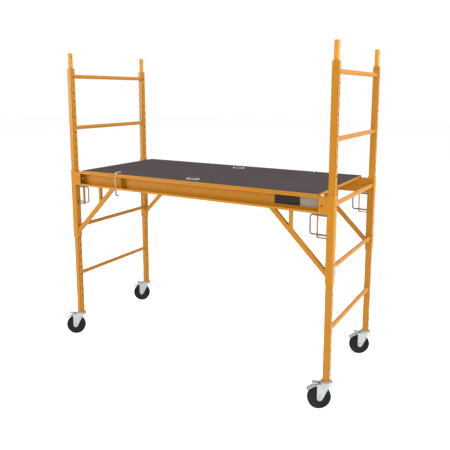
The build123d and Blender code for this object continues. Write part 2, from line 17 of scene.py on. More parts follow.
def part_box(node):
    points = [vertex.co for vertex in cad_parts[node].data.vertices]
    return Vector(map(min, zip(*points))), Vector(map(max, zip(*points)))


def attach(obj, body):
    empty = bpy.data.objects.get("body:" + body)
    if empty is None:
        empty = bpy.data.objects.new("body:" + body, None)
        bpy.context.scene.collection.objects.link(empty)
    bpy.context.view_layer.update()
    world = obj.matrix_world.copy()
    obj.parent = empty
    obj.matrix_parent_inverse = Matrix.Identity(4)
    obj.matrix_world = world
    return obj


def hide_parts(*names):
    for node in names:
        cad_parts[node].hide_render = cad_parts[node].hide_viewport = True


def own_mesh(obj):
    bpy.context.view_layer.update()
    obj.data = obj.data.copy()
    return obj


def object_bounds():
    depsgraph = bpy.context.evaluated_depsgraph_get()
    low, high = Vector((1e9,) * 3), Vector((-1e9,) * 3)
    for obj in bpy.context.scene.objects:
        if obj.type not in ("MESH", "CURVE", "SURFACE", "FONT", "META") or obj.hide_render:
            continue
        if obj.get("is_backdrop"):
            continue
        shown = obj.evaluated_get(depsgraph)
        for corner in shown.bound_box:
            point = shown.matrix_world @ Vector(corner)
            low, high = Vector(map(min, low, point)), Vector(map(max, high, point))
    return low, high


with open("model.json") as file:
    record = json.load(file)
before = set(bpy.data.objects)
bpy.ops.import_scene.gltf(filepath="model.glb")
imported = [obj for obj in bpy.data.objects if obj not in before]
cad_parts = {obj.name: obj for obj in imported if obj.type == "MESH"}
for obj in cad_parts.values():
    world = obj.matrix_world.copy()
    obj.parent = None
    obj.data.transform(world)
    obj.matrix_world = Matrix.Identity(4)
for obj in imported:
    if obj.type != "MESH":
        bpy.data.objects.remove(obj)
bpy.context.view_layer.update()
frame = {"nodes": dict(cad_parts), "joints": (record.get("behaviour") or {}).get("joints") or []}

# %% [markdown]
# Every position comes from the CAD boxes, so nothing has to be fitted by eye. The four posts give the
# middle of the scaffold. The words left, right, front and rear mean what they mean in the CAD names:
# right is +X and front is -Y.

# %% Where the posts, rungs, rails and deck are
corners = ("front_left", "front_right", "rear_left", "rear_right")
side = {corner: 1 if "right" in corner else -1 for corner in corners}
row = {corner: 1 if "rear" in corner else -1 for corner in corners}


def middle(node):
    low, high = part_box(node)
    return (low + high) / 2


post = {corner: middle("post_" + corner) for corner in corners}
scaffold_middle = sum(post.values(), Vector()) / len(corners)
post_low, post_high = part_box("post_front_left")
post_half = (post_high.x - post_low.x) / 2
sleeve_low, sleeve_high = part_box("bracket_sleeves")
sleeve_half = sleeve_high.x - post["front_right"].x
rail_low, rail_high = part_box("rail_front")
deck_low, deck_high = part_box("deck_panel")
joints = {joint["name"]: joint for joint in frame["joints"]}
print("posts at", [tuple(round(v, 3) for v in post[corner].xy) for corner in corners])

# %% [markdown]
# A bmesh is Blender's editable mesh. It is filled by operators, cleaned once, turned into an object and
# tied to the CAD body that it moves with. Doubles are merged before normals are recalculated, because
# a full spin leaves its last ring on top of its first one.

# %% A helper that turns a bmesh into a finished piece
def finish_piece(name, bm, body, materials, sharp=35):
    bmesh.ops.remove_doubles(bm, verts=bm.verts, dist=1e-6)
    bmesh.ops.recalc_face_normals(bm, faces=bm.faces)
    mesh = bpy.data.meshes.new(name)
    bm.to_mesh(mesh)
    bm.free()
    for material in materials:
        mesh.materials.append(material)
    mesh.shade_smooth()
    mesh.set_sharp_from_angle(angle=radians(sharp))
    piece = bpy.data.objects.new(name, mesh)
    bpy.context.scene.collection.objects.link(piece)
    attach(piece, body)
    print(name, len(mesh.polygons), "faces, rides on", body)
    return piece


# %% [markdown]
# Node groups hold the effects that several finishes share. Each group reads a coordinate and gives back
# a colour, a mask or a height. The shader itself stays in the material. The helpers below make a node
# and feed its sockets, either with a link or with a plain value, which keeps each group readable.

# %% Helpers for node trees
mix_inputs, mix_output = (0, 6, 7), 2  # the factor and the two colours of a Mix node, and its colour out


def feed(tree, socket, value):
    """Links a socket to another node's output, or sets the value it holds."""
    if isinstance(value, bpy.types.NodeSocket):
        tree.links.new(value, socket)
    else:
        socket.default_value = value


def feed_named(tree, node, inputs):
    for key, value in inputs.items():
        feed(tree, node.inputs[key.replace("_", " ")], value)


def add_node(tree, kind, settings=None, **inputs):
    node = tree.nodes.new(kind)
    for key, value in (settings or {}).items():
        setattr(node, key, value)
    feed_named(tree, node, inputs)
    return node


def maths(tree, operation, *values):
    node = add_node(tree, "ShaderNodeMath", {"operation": operation})
    for socket, value in zip(node.inputs, values):
        feed(tree, socket, value)
    return node.outputs[0]


def spread(tree, value, low, high, to_low=0.0, to_high=1.0):
    """Stretches the range low to high of a value to a new range, and holds it at both ends."""
    node = tree.nodes.new("ShaderNodeMapRange")
    for socket, number in zip(node.inputs, (value, low, high, to_low, to_high)):
        feed(tree, socket, number)
    return node.outputs[0]


def mixed(tree, factor, first, second):
    """Mixes two colours; a Mix node has other sockets for numbers and for vectors."""
    node = add_node(tree, "ShaderNodeMix", {"data_type": "RGBA"})
    for index, value in zip(mix_inputs, (factor, first, second)):
        feed(tree, node.inputs[index], value)
    return node.outputs[mix_output]


def noise_value(tree, vector, scale, detail=3.0, roughness=0.55):
    return add_node(tree, "ShaderNodeTexNoise", Vector=vector, Scale=scale, Detail=detail,
                    Roughness=roughness).outputs[0]


def stretched(tree, vector, scale):
    return add_node(tree, "ShaderNodeMapping", Vector=vector, Scale=scale).outputs[0]


def begin_group(name, inputs, outputs):
    """A new shader node group with named sockets; returns its tree, its input and its output node."""
    tree = bpy.data.node_groups.new(name, "ShaderNodeTree")
    kinds = {"vector": "NodeSocketVector", "colour": "NodeSocketColor", "value": "NodeSocketFloat"}
    for label, kind in inputs.items():
        tree.interface.new_socket(name=label, in_out="INPUT", socket_type=kinds[kind])
    for label, kind in outputs.items():
        tree.interface.new_socket(name=label, in_out="OUTPUT", socket_type=kinds[kind])
    return tree, tree.nodes.new("NodeGroupInput").outputs, tree.nodes.new("NodeGroupOutput").inputs


def place_group(tree, group, **inputs):
    node = tree.nodes.new("ShaderNodeGroup")
    node.node_tree = group
    feed_named(tree, node, inputs)
    return node.outputs


print("helpers for nodes, maths, ranges, mixes and groups")

# %% [markdown]
# Powder coat isn't one flat colour. It is a little thicker and deeper in some places, which a slow noise
# gives, and a faster noise adds the faint mottling of the powder. One group does both, because every
# finish here drifts a little.

# %% Group: colour drift
drift_group, given, out = begin_group(
    "colour drift", {"Vector": "vector", "Colour": "colour", "Slow": "value", "Fast": "value"},
    {"Colour": "colour"})
slow = noise_value(drift_group, given["Vector"], 3.2, detail=2.0)
fast = noise_value(drift_group, given["Vector"], 55.0, detail=4.0)
slow_part = maths(drift_group, "MULTIPLY", maths(drift_group, "SUBTRACT", slow, 0.5), given["Slow"])
fast_part = maths(drift_group, "MULTIPLY", maths(drift_group, "SUBTRACT", fast, 0.5), given["Fast"])
level = maths(drift_group, "ADD", maths(drift_group, "ADD", slow_part, fast_part), 1.0)
scaled = add_node(drift_group, "ShaderNodeVectorMath", {"operation": "SCALE"}, Scale=level)
drift_group.links.new(given["Colour"], scaled.inputs[0])
drift_group.links.new(scaled.outputs[0], out["Colour"])
print(drift_group.name, "ready")

# %% [markdown]
# Scuffs are where boots, hooks and neighbouring frames have rubbed. They run in short streaks, so the
# noise is stretched along one direction, and a second, larger noise decides where they gather.

# %% Group: scuffs
scuff_group, given, out = begin_group(
    "scuffs", {"Vector": "vector", "Amount": "value", "Streak": "vector"}, {"Mask": "value"})
streaks = stretched(scuff_group, given["Vector"], given["Streak"])
fine = noise_value(scuff_group, streaks, 160.0, detail=3.0, roughness=0.7)
patch = noise_value(scuff_group, given["Vector"], 9.0, detail=2.0)
limit = spread(scuff_group, given["Amount"], 0.0, 1.0, 0.80, 0.44)
together = maths(scuff_group, "ADD", maths(scuff_group, "MULTIPLY", fine, 0.62),
                 maths(scuff_group, "MULTIPLY", patch, 0.38))
mask = spread(scuff_group, together, limit, maths(scuff_group, "ADD", limit, 0.05))
scuff_group.links.new(mask, out["Mask"])
print(scuff_group.name, "ready")

# %% [markdown]
# Chips go through the paint to bare steel. They are small, have hard edges and are rare, so a cell
# pattern gives each chip its own size, and a noise bends its outline.

# %% Group: chips
chip_group, given, out = begin_group(
    "chips", {"Vector": "vector", "Amount": "value", "Scale": "value"}, {"Mask": "value"})
bend = add_node(chip_group, "ShaderNodeTexNoise", Vector=given["Vector"], Scale=240.0, Detail=2.0)
bent = add_node(chip_group, "ShaderNodeVectorMath", {"operation": "MULTIPLY_ADD"})
chip_group.links.new(bend.outputs["Color"], bent.inputs[0])
bent.inputs[1].default_value = (0.006, 0.006, 0.006)
chip_group.links.new(given["Vector"], bent.inputs[2])
cells = add_node(chip_group, "ShaderNodeTexVoronoi", Vector=bent.outputs[0], Scale=given["Scale"])
rarity = add_node(chip_group, "ShaderNodeSeparateColor", Color=cells.outputs["Color"]).outputs[0]
size = spread(chip_group, rarity, maths(chip_group, "SUBTRACT", 1.0, given["Amount"]), 1.0, 0.0, 0.22)
inside = maths(chip_group, "LESS_THAN", cells.outputs["Distance"], size)
chip_group.links.new(inside, out["Mask"])
print(chip_group.name, "ready")

# %% [markdown]
# Dust settles on faces that look up. The face's direction gives the mask, and a noise breaks it up so
# that it doesn't look like a second coat of paint.

# %% Group: settled dust
dust_group, given, out = begin_group(
    "settled dust", {"Vector": "vector", "Amount": "value"}, {"Mask": "value"})
facing = dust_group.nodes.new("ShaderNodeNewGeometry").outputs["Normal"]
upward = add_node(dust_group, "ShaderNodeSeparateXYZ", Vector=facing).outputs[2]
clouds = noise_value(dust_group, given["Vector"], 14.0, detail=5.0, roughness=0.65)
lying = maths(dust_group, "MULTIPLY", spread(dust_group, upward, 0.2, 0.95),
              spread(dust_group, clouds, 0.35, 0.75))
dust_group.links.new(maths(dust_group, "MULTIPLY", lying, given["Amount"]), out["Mask"])
print(dust_group.name, "ready")

# %% [markdown]
# Zinc plating is made of crystals, so its brightness jumps a little from one cell to the next, and
# handling leaves fine scratches over it.

# %% Group: zinc crystals
zinc_group, given, out = begin_group(
    "zinc crystals", {"Vector": "vector", "Colour": "colour", "Scale": "value"},
    {"Colour": "colour", "Roughness": "value", "Height": "value"})
crystals = add_node(zinc_group, "ShaderNodeTexVoronoi", Vector=given["Vector"], Scale=given["Scale"])
shade = add_node(zinc_group, "ShaderNodeSeparateColor", Color=crystals.outputs["Color"]).outputs[0]
cloud = noise_value(zinc_group, given["Vector"], 26.0, detail=4.0)
scratches = noise_value(zinc_group, stretched(zinc_group, given["Vector"], (1.0, 1.0, 14.0)), 90.0)
brightness = maths(zinc_group, "ADD", spread(zinc_group, shade, 0.0, 1.0, 0.90, 1.06),
                   spread(zinc_group, cloud, 0.3, 0.7, -0.08, 0.05))
tone = add_node(zinc_group, "ShaderNodeVectorMath", {"operation": "SCALE"}, Scale=brightness)
zinc_group.links.new(given["Colour"], tone.inputs[0])
zinc_group.links.new(tone.outputs[0], out["Colour"])
zinc_group.links.new(spread(zinc_group, scratches, 0.35, 0.7, 0.30, 0.46), out["Roughness"])
zinc_group.links.new(scratches, out["Height"])
print(zinc_group.name, "ready")


# %% [markdown]
# The inside of a post is bare steel that never sees daylight. Its faces are given a near-black colour,
# which is painted shade over the darker bare steel, so the holes in the post's faces read as dark dots.
# All four posts are the same square, mirrored about the middle of the scaffold. Two absolute values
# fold a point onto one post, and whatever lies deeper than the paint on its faces is inside.

# %% Group: inside of the posts
paint_depth = 0.0005
inside_group, given, out = begin_group("inside of the posts", {"Vector": "vector"}, {"Mask": "value"})
point = add_node(inside_group, "ShaderNodeSeparateXYZ", Vector=given["Vector"]).outputs
depths = []
for axis in range(2):
    from_middle = maths(inside_group, "ABSOLUTE",
                        maths(inside_group, "SUBTRACT", point[axis], scaffold_middle[axis]))
    spacing = abs(post["rear_right"][axis] - scaffold_middle[axis])
    depths.append(maths(inside_group, "ABSOLUTE", maths(inside_group, "SUBTRACT", from_middle, spacing)))
from_axis = maths(inside_group, "MAXIMUM", *depths)
inside_group.links.new(maths(inside_group, "LESS_THAN", from_axis, post_half - paint_depth), out["Mask"])
print(inside_group.name, "ready")


# %% [markdown]
# A material starts the same way each time: one Principled shader, and Object coordinates, which are the
# row's own metres because every object sits at the origin. Scales in the groups are therefore counted
# per metre.

# %% A helper that starts a material
def begin_material(name, **settings):
    material = bpy.data.materials.new(name)
    material.use_nodes = True
    tree = material.node_tree
    shader = tree.nodes["Principled BSDF"]
    for key, value in settings.items():
        shader.inputs[key.replace("_", " ")].default_value = value
    return material, tree, shader, tree.nodes.new("ShaderNodeTexCoord").outputs["Object"]


def bump(tree, shader, height, strength, distance):
    node = add_node(tree, "ShaderNodeBump", Strength=strength, Distance=distance, Height=height)
    tree.links.new(node.outputs[0], shader.inputs["Normal"])


# %% [markdown]
# All the welded steel has the same orange-yellow powder coat, but not the same life. Rungs are climbed,
# so they are scuffed along their length; sleeves and guards are rubbed by pins and rods; the rails are
# nearly clean. One material for everything would wear all of it alike, so one function makes the coat,
# and each family of parts gets its own values: scuffs, their direction, chips and dust.

# %% The powder coat
steel_grey = (0.23, 0.225, 0.22, 1)
painted_inside_shade = (0.020, 0.013, 0.008, 1)
scuffed_coat = (0.175, 0.080, 0.017, 1)
dust_colour = (0.62, 0.55, 0.45, 1)


def powder_coat(name, colour, scuffs, streak, chips, dust, roughness=0.36, hollow=False):
    material, tree, shader, place = begin_material(name, IOR=1.5, Specular_IOR_Level=0.22)
    coat = place_group(tree, drift_group, Vector=place, Colour=colour, Slow=0.10, Fast=0.07)["Colour"]
    rubbed = place_group(tree, scuff_group, Vector=place, Amount=scuffs, Streak=streak)["Mask"]
    chipped = place_group(tree, chip_group, Vector=place, Amount=chips, Scale=38.0)["Mask"]
    dusty = place_group(tree, dust_group, Vector=place, Amount=dust)["Mask"]
    darker = mixed(tree, maths(tree, "MULTIPLY", rubbed, 0.34), coat, scuffed_coat)
    with_dust = mixed(tree, dusty, darker, dust_colour)
    outside = mixed(tree, chipped, with_dust, steel_grey)
    if hollow:
        # painted shade: the inside faces of a post turn near-black
        within = place_group(tree, inside_group, Vector=place)["Mask"]
        outside = mixed(tree, within, outside, painted_inside_shade)
    tree.links.new(outside, shader.inputs["Base Color"])
    tree.links.new(maths(tree, "MULTIPLY", chipped, 0.85), shader.inputs["Metallic"])
    mottle = noise_value(tree, place, 30.0)
    satin = spread(tree, mottle, 0.3, 0.7, roughness - 0.05, roughness + 0.07)
    rough = maths(tree, "ADD", satin, maths(tree, "MULTIPLY", rubbed, 0.22))
    tree.links.new(maths(tree, "ADD", rough, maths(tree, "MULTIPLY", dusty, 0.3)), shader.inputs["Roughness"])
    peel = noise_value(tree, place, 420.0, detail=2.0)
    height = maths(tree, "SUBTRACT", peel, maths(tree, "MULTIPLY", chipped, 1.4))
    bump(tree, shader, height, 0.25, 0.0006)
    return material


amber = (0.375, 0.146, 0.0020, 1)
coat_posts = powder_coat("post_powder_coat", amber, 0.16, (1, 1, 0.25), 0.05, 0.10, hollow=True)
coat_rungs = powder_coat("rung_powder_coat", amber, 0.42, (1, 0.16, 1), 0.10, 0.22)
coat_sleeves = powder_coat("sleeve_powder_coat", amber, 0.22, (1, 1, 0.3), 0.07, 0.12)
coat_rails = powder_coat("rail_powder_coat", amber, 0.10, (0.2, 1, 1), 0.04, 0.14)
coat_braces = powder_coat("brace_powder_coat", amber, 0.16, (0.5, 1, 0.5), 0.05, 0.16)
coat_guards = powder_coat("guard_powder_coat", amber, 0.34, (1, 1, 0.4), 0.12, 0.10)
coat_deck_edge = powder_coat("deck_edge_powder_coat", amber, 0.40, (0.35, 0.35, 1), 0.14, 0.10)
paler_amber = (0.43, 0.19, 0.006, 1)
coat_spigots = powder_coat("spigot_powder_coat", paler_amber, 0.46, (1, 1, 0.2), 0.10, 0.10, 0.32)
print("powder coats for eight families of parts")

# %% [markdown]
# Plated steel comes in five tones here: bright zinc on the caster forks and stems, two for the pins and
# for the pedals, which are handled and trodden on, and two darker ones: oiled steel for the springs,
# and plating darkened with painted shade for the U-locks, whose thin rods sit in shadow. They differ in
# colour, crystal size and dust, so they share one recipe.

# %% Plated and dark steel
stain_share = (0.55, 0.53, 0.50, 1)  # a stain is this much of the plating's colour


def plated_steel(name, colour, crystal_scale, dust, metallic=0.85):
    material, tree, shader, place = begin_material(name, Metallic=metallic)
    zinc = place_group(tree, zinc_group, Vector=place, Colour=colour, Scale=crystal_scale)
    dusty = place_group(tree, dust_group, Vector=place, Amount=dust)["Mask"]
    stained = noise_value(tree, place, 60.0, detail=5.0, roughness=0.7)
    marks = spread(tree, stained, 0.58, 0.75, 0.0, 0.35)
    stain = tuple(part * share for part, share in zip(colour, stain_share))
    worn = mixed(tree, marks, zinc["Colour"], stain)
    tree.links.new(mixed(tree, dusty, worn, dust_colour), shader.inputs["Base Color"])
    tree.links.new(maths(tree, "ADD", zinc["Roughness"], maths(tree, "MULTIPLY", marks, 0.4)),
                   shader.inputs["Roughness"])
    bump(tree, shader, zinc["Height"], 0.18, 0.0004)
    return material


bright_zinc = plated_steel("bright_zinc", (0.40, 0.435, 0.445, 1), 150.0, 0.20, metallic=0.55)
pin_zinc = plated_steel("pin_zinc", (0.44, 0.43, 0.40, 1), 260.0, 0.10, metallic=0.7)
pedal_zinc = plated_steel("pedal_zinc", (0.42, 0.45, 0.455, 1), 190.0, 0.28, metallic=0.55)
# painted shade: the U-lock rods are darker than their plating
shaded_lock_steel = plated_steel("lock_rod_shaded_steel", (0.20, 0.19, 0.18, 1), 300.0, 0.05)
spring_steel = plated_steel("spring_steel", (0.36, 0.35, 0.34, 1), 420.0, 0.05)
print("five tones of plated steel")

# %% [markdown]
# The two platform locks are plated a warm, pale yellow, and the end that hangs below the rail, where a
# hand pulls it, has been dipped in dark plastic. The height of a point decides which of the two it is.

# %% Dipped lock rods
dip_top, dip_edge = rail_low.z - 0.004, 0.002
dipped_rod, tree, shader, place = begin_material("dipped_lock_rod", Metallic=0.25)
zinc = place_group(tree, zinc_group, Vector=place, Colour=(0.54, 0.41, 0.27, 1), Scale=260.0)
level = add_node(tree, "ShaderNodeSeparateXYZ", Vector=place).outputs[2]
dipped = spread(tree, level, dip_top - dip_edge, dip_top, 1.0, 0.0)
tree.links.new(mixed(tree, dipped, zinc["Colour"], (0.018, 0.019, 0.020, 1)), shader.inputs["Base Color"])
tree.links.new(maths(tree, "ADD", zinc["Roughness"], maths(tree, "MULTIPLY", dipped, 0.15)),
               shader.inputs["Roughness"])
bump(tree, shader, zinc["Height"], 0.18, 0.0004)
print("lock rods, dipped below", round(dip_top, 3))

# %% [markdown]
# The platform is plywood with a dark, resin-soaked film. Its top is pressed with a fine wire mesh, so
# that boots grip. Modelled wires would cost millions of faces and be too fine to see, so the mesh is a
# bump made of two waves at right angles. The film is dark grey-brown, traffic has rubbed paler tracks
# into it, and only on cut faces, which look sideways, do the veneers show.

# %% The film-faced plywood
panel_material, tree, shader, place = begin_material("film_faced_plywood", Specular_IOR_Level=0.10)
wires_per_metre = 62.0
wires_along, wires_across = (
    add_node(tree, "ShaderNodeTexWave", {"bands_direction": direction}, Vector=place,
             Scale=wires_per_metre).outputs[1] for direction in "XY")
wire_print = maths(tree, "MAXIMUM", wires_along, wires_across)
film_colour = (0.050, 0.038, 0.040, 1)
film = place_group(tree, drift_group, Vector=place, Colour=film_colour, Slow=0.14, Fast=0.14)["Colour"]
walked = noise_value(tree, stretched(tree, place, (0.5, 1.6, 1.0)), 4.5, detail=5.0)
tracks = spread(tree, walked, 0.42, 0.72)
worn_film = mixed(tree, maths(tree, "MULTIPLY", tracks, 0.22), film, (0.085, 0.068, 0.070, 1))
scratched = place_group(tree, scuff_group, Vector=place, Amount=0.34, Streak=(0.3, 1.0, 1.0))["Mask"]
scratched_film = mixed(tree, maths(tree, "MULTIPLY", scratched, 0.16), worn_film, (0.15, 0.125, 0.122, 1))
facing = add_node(tree, "ShaderNodeSeparateXYZ",
                  Vector=tree.nodes.new("ShaderNodeNewGeometry").outputs["Normal"]).outputs[2]
flat = spread(tree, maths(tree, "ABSOLUTE", facing), 0.4, 0.7)
veneers = add_node(tree, "ShaderNodeTexWave", {"bands_direction": "Z"}, Vector=place, Scale=160.0,
                   Distortion=1.2, Detail=2.0).outputs[1]
cut_face = mixed(tree, veneers, (0.36, 0.22, 0.12, 1), (0.55, 0.38, 0.22, 1))
tree.links.new(mixed(tree, flat, cut_face, scratched_film), shader.inputs["Base Color"])
tree.links.new(spread(tree, tracks, 0.0, 1.0, 0.70, 0.82), shader.inputs["Roughness"])
grip = maths(tree, "SUBTRACT", wire_print, maths(tree, "MULTIPLY", tracks, 0.3))
bump(tree, shader, maths(tree, "MULTIPLY", grip, flat), 0.35, 0.0008)
print("plywood with a wire mesh print")

# %% [markdown]
# The wheels have a rubber tread moulded on a hard plastic core. Both are nearly black. The rubber is
# dull and picks up floor dust on its tread; the core is smoother, with a faint moulded grain.

# %% Rubber and core plastic
rubber, tree, shader, place = begin_material("tread_rubber", Specular_IOR_Level=0.12)
rubber_black = (0.0070, 0.0074, 0.0080, 1)
black = place_group(tree, drift_group, Vector=place, Colour=rubber_black, Slow=0.3, Fast=0.3)["Colour"]
floor_dust = spread(tree, noise_value(tree, place, 70.0, detail=6.0, roughness=0.7), 0.52, 0.80, 0.0, 0.30)
tree.links.new(mixed(tree, floor_dust, black, (0.055, 0.052, 0.048, 1)), shader.inputs["Base Color"])
tree.links.new(spread(tree, floor_dust, 0.0, 0.3, 0.52, 0.78), shader.inputs["Roughness"])
bump(tree, shader, noise_value(tree, place, 900.0), 0.3, 0.0004)

core, tree, shader, place = begin_material("wheel_core_plastic", Specular_IOR_Level=0.14)
core_black = (0.0090, 0.0095, 0.0105, 1)
black = place_group(tree, drift_group, Vector=place, Colour=core_black, Slow=0.2, Fast=0.2)["Colour"]
handled = place_group(tree, scuff_group, Vector=place, Amount=0.3, Streak=(1, 1, 1))["Mask"]
tree.links.new(mixed(tree, maths(tree, "MULTIPLY", handled, 0.25), black, (0.11, 0.11, 0.11, 1)),
               shader.inputs["Base Color"])
tree.links.new(spread(tree, noise_value(tree, place, 120.0), 0.3, 0.7, 0.34, 0.48),
               shader.inputs["Roughness"])
bump(tree, shader, noise_value(tree, place, 1500.0), 0.2, 0.0002)
print("rubber and core plastic")

# %% [markdown]
# Small fittings are painted or bare sheet with a little wear: the rivet heads, the linings of the hand
# holes and the plates on the rail. They share one recipe, in which rubbing brings out a second colour.

# %% Small fittings
def fitting_finish(name, colour, worn, metallic, roughness):
    material, tree, shader, place = begin_material(name, Metallic=metallic, Specular_IOR_Level=0.2)
    base = place_group(tree, drift_group, Vector=place, Colour=colour, Slow=0.15, Fast=0.25)["Colour"]
    rubbed = place_group(tree, scuff_group, Vector=place, Amount=0.38, Streak=(0.4, 1, 1))["Mask"]
    tree.links.new(mixed(tree, maths(tree, "MULTIPLY", rubbed, 0.4), base, worn),
                   shader.inputs["Base Color"])
    tree.links.new(maths(tree, "ADD", maths(tree, "MULTIPLY", rubbed, 0.25), roughness),
                   shader.inputs["Roughness"])
    bump(tree, shader, noise_value(tree, place, 700.0), 0.12, 0.0002)
    return material


rivet_finish = fitting_finish("painted_rivets", (0.060, 0.048, 0.048, 1), (0.16, 0.14, 0.13, 1), 0.0, 0.62)
lining_finish = fitting_finish("pale_linings", (0.93, 0.92, 0.88, 1), (0.74, 0.72, 0.68, 1), 0.0, 0.46)
dark_plate = fitting_finish("dark_plate", (0.016, 0.011, 0.008, 1), (0.10, 0.07, 0.05, 1), 0.0, 0.50)
silver_plate = fitting_finish("silver_plate", (0.24, 0.21, 0.155, 1), (0.15, 0.125, 0.095, 1), 0.30, 0.46)
print("four finishes for small fittings")

# %% [markdown]
# Each CAD node now gets its finish. The node's mesh isn't touched: only its material changes.

# %% Dress the CAD nodes
finishes = {
    "post_": coat_posts, "rungs_": coat_rungs, "stacking_spigots": coat_spigots,
    "spigot_collars": coat_spigots, "bracket_sleeves": coat_sleeves, "rail_": coat_rails,
    "bracket_braces": coat_braces, "bracket_struts": coat_braces, "lock_guards": coat_guards,
    "deck_panel": panel_material, "deck_edge_frame": coat_deck_edge, "deck_cross_bars": coat_rails,
    "deck_rivets": pin_zinc, "caster_stems": bright_zinc, "u_lock_springs_": spring_steel,
    "u_lock_": shaded_lock_steel, "sleeve_pin_": pin_zinc, "caster_pin_": pin_zinc, "caster_fork_": bright_zinc,
    "caster_axle_": pin_zinc, "caster_wheel_": rubber, "brake_pedal_": pedal_zinc,
    "platform_lock_spring_": dipped_rod, "platform_lock_": dipped_rod,
}
for node_name, cad_object in frame["nodes"].items():
    start = max((key for key in finishes if node_name.startswith(key)), key=len)
    cad_object.data.materials.clear()
    cad_object.data.materials.append(finishes[start])
print(len(frame["nodes"]), "CAD nodes dressed")

# %% [markdown]
# A weld bead is a row of overlapping puddles. Bump alone would leave the corners sharp, so the beads are
# meshes. Each one starts as one small ring of vertices, which is extruded step by step along the joint,
# growing and shrinking a little each time. Round tubes get a plain bead that is spun right round them.

# %% Weld beads
bead_tip, bead_swell, bead_waist = 0.4, 1.12, 0.90  # shares of the bead's radius
puddle_length, puddles_round, bead_segments = 0.004, 22, 8


def across(direction):
    """The turn that takes +Z to a direction."""
    return direction.to_track_quat("Z", "Y").to_matrix().to_4x4()


def straight_bead(bm, start, end, radius):
    """A closed, rippled bead from start to end."""
    start, end = Vector(start), Vector(end)
    run = end - start
    steps = max(4, int(run.length / puddle_length) * 2)
    turn = across(run.normalized())
    ring = bmesh.ops.create_circle(bm, cap_ends=True, segments=bead_segments, radius=radius * bead_tip,
                                   matrix=Matrix.Translation(start) @ turn)["verts"]
    edges = [edge for edge in bm.edges if all(vert in ring for vert in edge.verts)]
    size = bead_tip
    for step in range(1, steps + 1):
        made = bmesh.ops.extrude_edge_only(bm, edges=edges)["geom"]
        verts = [item for item in made if isinstance(item, bmesh.types.BMVert)]
        edges = [item for item in made if isinstance(item, bmesh.types.BMEdge)
                 and all(vert in verts for vert in item.verts)]
        bmesh.ops.translate(bm, verts=verts, vec=run / steps)
        grown = bead_tip if step == steps else bead_swell if step % 2 else bead_waist
        centre = start + run * (step / steps)
        bmesh.ops.scale(bm, verts=verts, vec=Vector((1, 1, 1)) * (grown / size),
                        space=Matrix.Translation(-centre))
        size = grown
    bmesh.ops.contextual_create(bm, geom=edges)


def round_bead(bm, centre, axis, tube_radius, radius):
    """A bead round a tube."""
    upright = Matrix.Translation((tube_radius, 0, 0)) @ Matrix.Rotation(pi / 2, 4, "X")
    made = bmesh.ops.create_circle(bm, segments=bead_segments, radius=radius,
                                   matrix=Matrix.Translation(centre) @ across(axis) @ upright)
    edges = list({edge for vert in made["verts"] for edge in vert.link_edges})
    bmesh.ops.spin(bm, geom=made["verts"] + edges, cent=centre, axis=axis, angle=2 * pi,
                   steps=puddles_round * 2, use_merge=True)


def rung_heights(node):
    """Heights of the rungs of one frame, found from the gaps between their vertices."""
    low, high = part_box(node)
    radius = (high.x - low.x) / 2
    tops = sorted({round(vert.co.z, 3) for vert in frame["nodes"][node].data.vertices})
    levels = [tops[0]] + [b for a, b in zip(tops, tops[1:]) if b - a > 4 * radius]
    return radius, [level + radius for level in levels]


bead_radius, bead_standoff = 0.0026, 0.3  # how far off the post its middle is, as a share of the radius
for frame_side in ("left", "right"):
    bm = bmesh.new()
    rung_radius, heights = rung_heights("rungs_" + frame_side)
    for corner in (name for name in corners if frame_side in name):
        face = post[corner].y - row[corner] * (post_half + bead_radius * bead_standoff)
        for height in heights:
            centre = Vector((post[corner].x, face, height))
            round_bead(bm, centre, Vector((0, 1, 0)), rung_radius, bead_radius)
    finish_piece("rung_welds_" + frame_side, bm, "scaffold", [coat_rungs])

# %% [markdown]
# The side brackets are welded from straight tube and flat bar. Their beads run along the foot and the
# head of each brace and strut, up the ends of the rails and across the guards. All four ends are alike,
# so the beads of one end are described once, as lines measured from the post, and placed four times.

# %% Beads on the side brackets
brace_width, brace_reach, brace_foot = 0.025, 0.308, 0.048
strut_width, strut_reach = 0.019, 0.200
guard_reach, guard_bar, guard_half_width = 0.052, 0.003, 0.009
bracket_bead, rail_bead_inset, rail_bead_margin = 0.0021, 0.002, 0.006
guard_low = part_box("lock_guards")[0].z
foot_z = sleeve_low.z + brace_foot
slope = atan2(rail_low.z - foot_z, brace_reach)
foot_rise, head_run = brace_width / cos(slope) / 2, brace_width / sin(slope) / 2


def end_bead_lines():
    """Start and end of each bead: how far in from the sleeve, how far out in Y, and the height."""
    half, thin = brace_width / 2, strut_width / 2
    lines = [((0, s * half, foot_z - foot_rise), (0, s * half, foot_z + foot_rise)) for s in (-1, 1)]
    lines += [((0, -half, foot_z + s * foot_rise), (0, half, foot_z + s * foot_rise)) for s in (-1, 1)]
    top = rail_low.z
    head_near, head_far = brace_reach - head_run, brace_reach + head_run
    lines += [((head_near, s * half, top), (head_far, s * half, top)) for s in (-1, 1)]
    lines += [((x, -half, top), (x, half, top)) for x in (head_near, head_far)]
    near, far = strut_reach - thin, strut_reach + thin
    lines += [((near, s * thin, top), (far, s * thin, top)) for s in (-1, 1)]
    lines += [((x, -thin, top), (x, thin, top)) for x in (near, far)]
    rise = (rail_low.z - foot_z) / brace_reach
    upper = foot_z + foot_rise
    lines += [((near, s * thin, upper + near * rise), (far, s * thin, upper + far * rise)) for s in (-1, 1)]
    rail_half_width = (rail_high.y - rail_low.y) / 2
    beside = rail_half_width - rail_bead_inset
    bead_low, bead_high = rail_low.z + rail_bead_margin, rail_high.z - rail_bead_margin
    lines += [((0, s * beside, bead_low), (0, s * beside, bead_high)) for s in (-1, 1)]
    for x in (guard_reach, guard_reach + guard_bar):
        lines.append(((x, -guard_half_width, top), (x, guard_half_width, top)))
    for z in (guard_low, guard_low + guard_bar):
        lines.append(((0, -guard_half_width, z), (0, guard_half_width, z)))
    return lines


